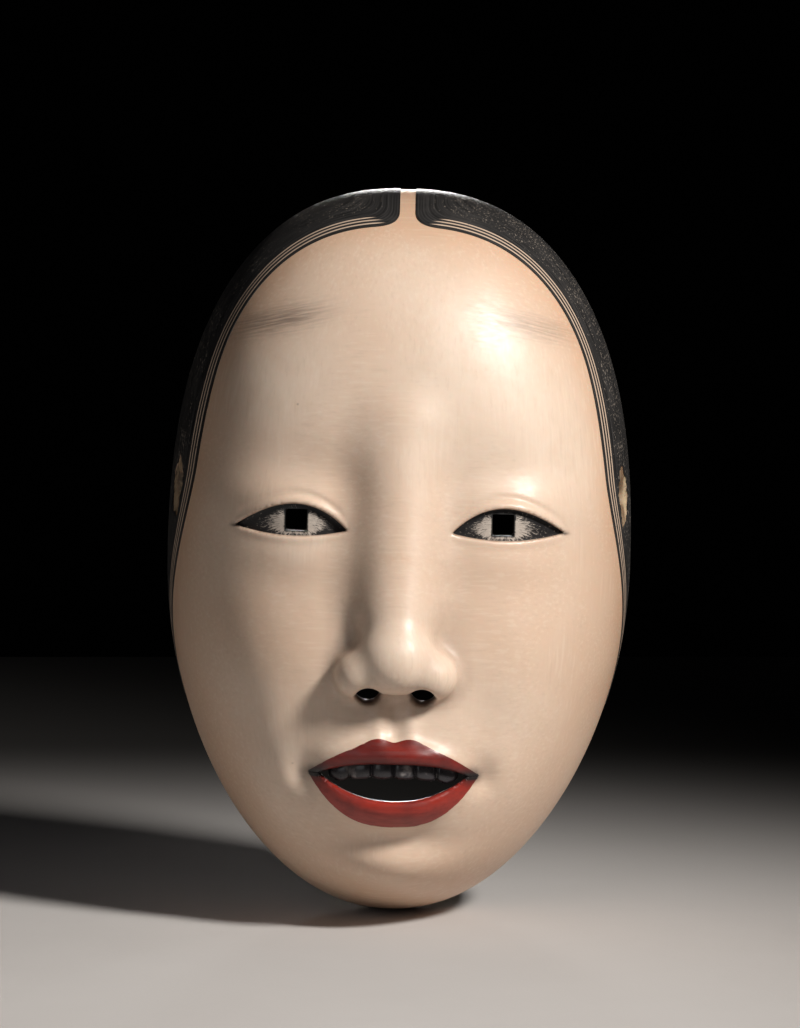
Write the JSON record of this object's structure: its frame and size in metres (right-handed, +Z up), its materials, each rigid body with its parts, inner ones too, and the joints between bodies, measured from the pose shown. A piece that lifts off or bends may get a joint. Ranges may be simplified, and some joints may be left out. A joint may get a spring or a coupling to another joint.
{
  "type": "noh mask",
  "caption": "Carved wooden theatre mask of a young woman's face, with a hollow back, pierced eyes, nostrils and mouth, and two holes for a head cord.",
  "frame": {"origin": "on the flat back rim's plane, on the centre line, level with the two cord holes", "axes": "+Z up from chin to crown, +Y out of the open back towards the wearer, +X to the viewer's right when facing the mask"},
  "size_m": [0.136, 0.0727, 0.212],
  "materials": {
    "cypress_wood": "carved bare cypress",
    "back_lacquer": "thin dark lacquer over chisel marks",
    "shell_white_flesh": "burnished shell white, warm flesh colour",
    "hair_ink": "black ink, satin, brushed",
    "eye_white_and_ink": "off-white with black ink lines",
    "lip_red": "satin red, worn",
    "tooth_black": "blackened teeth, satin",
    "pad_cotton": "cotton cloth over wadding"
  },
  "bodies": {
    "root": {"wood_core": "cypress_wood", "back_lacquer": "back_lacquer", "face_coat": "shell_white_flesh", "hair_coat_left": "hair_ink", "hair_coat_right": "hair_ink", "eye_coat_left": "eye_white_and_ink", "eye_coat_right": "eye_white_and_ink", "upper_lip": "lip_red", "lower_lip": "lip_red", "upper_teeth": "tooth_black", "forehead_pad": "pad_cotton", "cheek_pad_left": "pad_cotton", "cheek_pad_right": "pad_cotton"}
  },
  "joints": []
}
